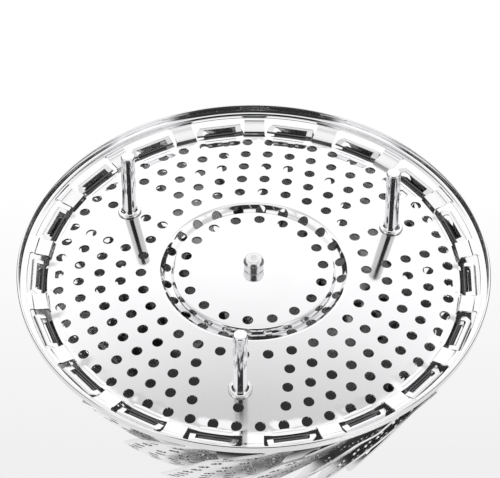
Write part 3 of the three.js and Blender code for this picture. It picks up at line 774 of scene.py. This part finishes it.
def makeNut():
    # A cap that tapers to its foot, with a round end and a dimple in it
    under = float(deckLevel(np.zeros(2))) - deck["sheet"] / 2 - stud["seatGap"]
    low, end, foot = under - nut["height"], nut["endRound"], nut["foot"]
    profile = np.concatenate([
        np.add(nut["dimple"], (0, low)),
        arc((nut["radius"] - end, low + end), end, end, -90, 0, nut["endSteps"]),
        [(foot, under - nut["footHeight"]), (foot + nut["footSpread"], under), (0, under)],
    ])
    makePiece("postNut", lathe(profile, nut["sides"]), nutSteel, "base", "post_nut")


ring = {"radius": 12.0, "wire": 1.5, "lean": 4.8, "around": 160, "section": 24}


def makeRing(eye):
    # A round wire in a circle, which hangs from the eye and leans on the post, towards +X
    section = arc((ring["radius"], 0), ring["wire"], ring["wire"], 0, 360, ring["section"])[:-1]
    points, faces = hoop(section, ring["around"])
    upright = np.stack([points[:, 2], points[:, 1], -points[:, 0] - ring["radius"]], -1)
    lean = math.asin(ring["lean"] / (2 * ring["radius"]))
    c, s = math.cos(lean), math.sin(lean)
    leaning = upright @ np.array([[c, 0, s], [0, 1, 0], [-s, 0, c]]) + np.array([0, 0, eye])
    makePiece("liftingRing", (leaning, faces), turnedSteel, "ring", "lifting_ring")


makeStuds()
makeNut()
makeRing(makePost())
print("feet, post and ring made")


# Studio: a floor under the feet, and the table that the basket stands on when it is turned over. In metres

studio = {
    "floorRadius": 3.0, "floorDrop": 0.0001, "floorColour": (0.9, 0.9, 0.9, 1), "floorRoughness": 0.9,
    "tableRadius": 0.215, "fadeRadius": 0.14, "tableGap": 0.0006, "tableStep": 0.001, "tableLayers": 2,
    # The painted shadow on the table under the basket, and the painted light that makes its far side lighter
    "tableDark": 0.03, "tableLight": 0.87, "shadowRadius": 0.046, "shadowEdge": 0.051, "shadowOffset": 0.026,
    "farStart": -0.02, "farEnd": 0.1, "farLightGain": 1.16,
    "discSides": 64, "worldStrength": 1.3,
}


def mathNode(material, operation, first, second):
    # One sum on two sockets, or on a socket and a number
    nodes, links = material.node_tree.nodes, material.node_tree.links
    node = nodes.new("ShaderNodeMath")
    node.operation = operation
    links.new(first, node.inputs[0])
    if isinstance(second, float):
        node.inputs[1].default_value = second
    else:
        links.new(second, node.inputs[1])
    return node.outputs[0]


def mapRange(nodes, fromMin, fromMax, toMin, toMax):
    # A straight line from one range to another, held at both ends
    node = nodes.new("ShaderNodeMapRange")
    for socket, value in (("From Min", fromMin), ("From Max", fromMax), ("To Min", toMin), ("To Max", toMax)):
        node.inputs[socket].default_value = value
    return node


def clearBehind(material, shader, layersPassed):
    # A stage sheet is clear from behind, and a table also for rays that have come through that many backs
    nodes, links = material.node_tree.nodes, material.node_tree.links
    choose = nodes.new("ShaderNodeMixShader")
    behind = nodes.new("ShaderNodeNewGeometry").outputs["Backfacing"]
    if layersPassed:
        depth = nodes.new("ShaderNodeLightPath").outputs["Transparent Depth"]
        passed = mathNode(material, "GREATER_THAN", depth, layersPassed - 0.5)
        behind = mathNode(material, "MAXIMUM", passed, behind)
    links.new(behind, choose.inputs["Fac"])
    links.new(shader, choose.inputs[1])
    links.new(nodes.new("ShaderNodeBsdfTransparent").outputs["BSDF"], choose.inputs[2])
    links.new(choose.outputs["Shader"], nodes["Material Output"].inputs["Surface"])


def floorMaterial():
    material = bpy.data.materials.new("floorWhite")
    material.use_nodes = True
    shader = material.node_tree.nodes["Principled BSDF"]
    shader.inputs["Base Color"].default_value = studio["floorColour"]
    shader.inputs["Roughness"].default_value = studio["floorRoughness"]
    shader.inputs["Specular IOR Level"].default_value = 0.0
    clearBehind(material, shader.outputs["BSDF"], 0)
    return material


def tableMaterial():
    # A white table that glows in place of being lit, with a painted shadow where the basket stands on it,
    # painted light that makes it a little lighter away from the camera, and fading into the white surround at
    # its edge
    material = bpy.data.materials.new("tableWhite")
    material.use_nodes = True
    nodes, links = material.node_tree.nodes, material.node_tree.links
    place = nodes.new("ShaderNodeTexCoord").outputs["Object"]
    reach = nodes.new("ShaderNodeVectorMath")
    reach.operation = "DISTANCE"
    reach.inputs[1].default_value = (0, studio["shadowOffset"], 0)
    links.new(place, reach.inputs[0])
    # Painted shadow: a dark disc under the basket, set off towards +Y
    levels = (studio["tableDark"], studio["tableLight"])
    shade = mapRange(nodes, studio["shadowRadius"], studio["shadowEdge"], *levels)
    shade.interpolation_type = "SMOOTHSTEP"
    links.new(reach.outputs["Value"], shade.inputs["Value"])
    split = nodes.new("ShaderNodeSeparateXYZ")
    links.new(place, split.inputs["Vector"])
    # Painted light: the table grows lighter towards +Y, away from the camera
    far = mapRange(nodes, studio["farStart"], studio["farEnd"], 1.0, studio["farLightGain"])
    links.new(split.outputs["Y"], far.inputs["Value"])
    away = nodes.new("ShaderNodeVectorMath")
    away.operation = "LENGTH"
    links.new(place, away.inputs[0])
    fade = mapRange(nodes, studio["fadeRadius"], studio["tableRadius"], 0.0, 1.0)
    links.new(away.outputs["Value"], fade.inputs["Value"])
    level = nodes.new("ShaderNodeMix")
    level.inputs["B"].default_value = 1.0
    links.new(fade.outputs["Result"], level.inputs["Factor"])
    lit = mathNode(material, "MULTIPLY", shade.outputs["Result"], far.outputs["Result"])
    links.new(lit, level.inputs["A"])
    glow = nodes.new("ShaderNodeEmission")
    links.new(level.outputs["Result"], glow.inputs["Strength"])
    clearBehind(material, glow.outputs["Emission"], studio["tableLayers"])
    return material


def stageDisc(name, radius, height, faceUp, material):
    # A flat round sheet of the stage, which throws no shade on the basket
    sides = studio["discSides"]
    turn = np.arange(sides) * fullTurn / sides
    points = np.stack([radius * np.cos(turn), radius * np.sin(turn), 0 * turn], -1)
    order = list(range(sides))
    mesh = bpy.data.meshes.new(name)
    mesh.from_pydata(points.tolist(), [], [order if faceUp else order[::-1]])
    mesh.materials.append(material)
    disc = bpy.data.objects.new(name, mesh)
    disc.location.z = height
    disc.visible_diffuse = False
    disc.visible_shadow = False
    disc.visible_transmission = False
    scene.collection.objects.link(disc)
    return disc


def makeStage():
    floor = stageDisc("floor", studio["floorRadius"], -studio["floorDrop"], True, floorMaterial())
    floor.visible_glossy = False
    white = tableMaterial()
    for layer in range(studio["tableLayers"]):
        height = cadBox[1].z + studio["tableGap"] + layer * studio["tableStep"]
        stageDisc("table%d" % (layer + 1), studio["tableRadius"], height, False, white)


# Levels of the studio by height (0 straight down, 1 straight up) and by azimuth (0.25 front, 0.5 right,
# 0.75 back). Dark gaps lie between its white panels: at both sides and round the camera
surround = {
    "height": [
        (0, 0.92), (0.018, 0.9), (0.034, 0.58), (0.05, 0.6), (0.1, 0.86), (0.137, 0.97), (0.35, 1),
        (0.5, 0.9), (0.56, 0.85), (0.64, 0.55), (0.72, 0.55), (0.82, 0.76), (0.92, 0.72), (1, 0.45)],
    "sideHeight": [
        (0, 0), (0.23, 0), (0.27, 0.97), (0.56, 0.97), (0.62, 0.6), (0.7, 0.55), (0.76, 0), (1, 0)],
    "sideAzimuth": [
        (0, 1), (0.06, 1), (0.08, 0), (0.42, 0), (0.44, 1), (0.63, 1), (0.65, 0), (0.85, 0),
        (0.87, 1), (1, 1)],
    "frontHeight": [(0, 0), (0.015, 0), (0.045, 0.97), (0.5, 0.97), (0.53, 0), (1, 0)],
    "frontAzimuth": [(0, 0), (0.14, 0), (0.155, 1), (0.345, 1), (0.36, 0), (1, 0)],
}


def greyRamp(nodes, stops):
    # Grey levels at the stops, in a straight line between them
    ramp = nodes.new("ShaderNodeValToRGB")
    elements = ramp.color_ramp.elements
    elements[0].position, elements[1].position = stops[0][0], stops[-1][0]
    for place, _ in stops[1:-1]:
        elements.new(place)
    for element, (_, level) in zip(elements, stops):
        element.color = (level, level, level, 1)
    return ramp


def makeWorld():
    # White panels less the dark gaps between them. Only reflections see these, and all else is plain white
    world = bpy.data.worlds.new("studioWorld")
    scene.world = world
    world.use_nodes = True
    nodes, links = world.node_tree.nodes, world.node_tree.links
    direction = nodes.new("ShaderNodeTexCoord").outputs["Generated"]
    split = nodes.new("ShaderNodeSeparateXYZ")
    links.new(direction, split.inputs["Vector"])
    height = mapRange(nodes, -1, 1, 0, 1)
    links.new(split.outputs["Z"], height.inputs["Value"])
    azimuth = nodes.new("ShaderNodeTexGradient")
    azimuth.gradient_type = "RADIAL"
    links.new(direction, azimuth.inputs["Vector"])
    level = {}
    for name, stops in surround.items():
        ramp = greyRamp(nodes, stops)
        links.new((azimuth if name.endswith("Azimuth") else height).outputs[0], ramp.inputs["Fac"])
        level[name] = ramp.outputs["Color"]
    sides = mathNode(world, "MULTIPLY", level["sideHeight"], level["sideAzimuth"])
    front = mathNode(world, "MULTIPLY", level["frontHeight"], level["frontAzimuth"])
    gaps = mathNode(world, "MULTIPLY", level["height"], mathNode(world, "MAXIMUM", sides, front))
    seen = nodes.new("ShaderNodeMix")
    seen.inputs["A"].default_value = 1 / studio["worldStrength"]
    links.new(nodes.new("ShaderNodeLightPath").outputs["Is Glossy Ray"], seen.inputs["Factor"])
    links.new(mathNode(world, "SUBTRACT", level["height"], gaps), seen.inputs["B"])
    background = nodes["Background"]
    links.new(seen.outputs["Result"], background.inputs["Color"])
    background.inputs["Strength"].default_value = studio["worldStrength"]


keyLight = {"place": (-0.6, -0.5, 0.9), "aim": (0, 0, 0.04), "size": 0.5, "power": 6}


def makeKeyLight():
    lamp = bpy.data.lights.new("keyLight", "AREA")
    lamp.shape = "DISK"
    lamp.size = keyLight["size"]
    lamp.energy = keyLight["power"]
    holder = bpy.data.objects.new("keyLight", lamp)
    holder.location = keyLight["place"]
    towards = Vector(keyLight["aim"]) - Vector(keyLight["place"])
    holder.rotation_euler = towards.to_track_quat("-Z", "Y").to_euler()
    scene.collection.objects.link(holder)


camera = {
    "sensor": 36.0, "distance": 908.2, "clip": (0.01, 20),
    "aimHeight": 25.5,              # the middle of the deck's edge plane
    "below": 46.57, "roll": -0.29,  # degrees under the horizon, and about the line of sight
    "wide": 500, "tall": 478, "focal": 3062.0,      # picture, in pixels
    "aimAcross": 253.65, "aimDown": 279.42,         # where the aim lies in it
}


def makeCamera():
    # The camera looks up from below with the picture's top towards -Z, so the basket shows upside down
    lens = bpy.data.cameras.new("camera")
    lens.sensor_width = camera["sensor"]
    lens.lens = camera["focal"] / camera["wide"] * camera["sensor"]
    lens.clip_start, lens.clip_end = camera["clip"]
    below, roll = math.radians(camera["below"]), math.radians(camera["roll"])
    forward = Vector((0, math.cos(below), math.sin(below)))
    place = Vector((0, 0, camera["aimHeight"] * mm)) - forward * camera["distance"] * mm
    level = Vector((-1, 0, 0))
    steep = (-forward).cross(level)
    right = level * math.cos(roll) - steep * math.sin(roll)
    upwards = steep * math.cos(roll) + level * math.sin(roll)
    aside = (camera["aimAcross"] - camera["wide"] / 2) / camera["focal"]
    down = (camera["aimDown"] - camera["tall"] / 2) / camera["focal"]
    forward = (forward - right * aside + upwards * down).normalized()
    right = (right - forward * right.dot(forward)).normalized()
    turn = Matrix((right, (-forward).cross(right), -forward)).transposed()
    holder = bpy.data.objects.new("camera", lens)
    holder.matrix_world = Matrix.Translation(place) @ turn.to_4x4()
    scene.collection.objects.link(holder)
    scene.camera = holder


makeStage()
makeWorld()
makeKeyLight()
makeCamera()
scene.view_settings.view_transform = "Standard"
print("studio made")
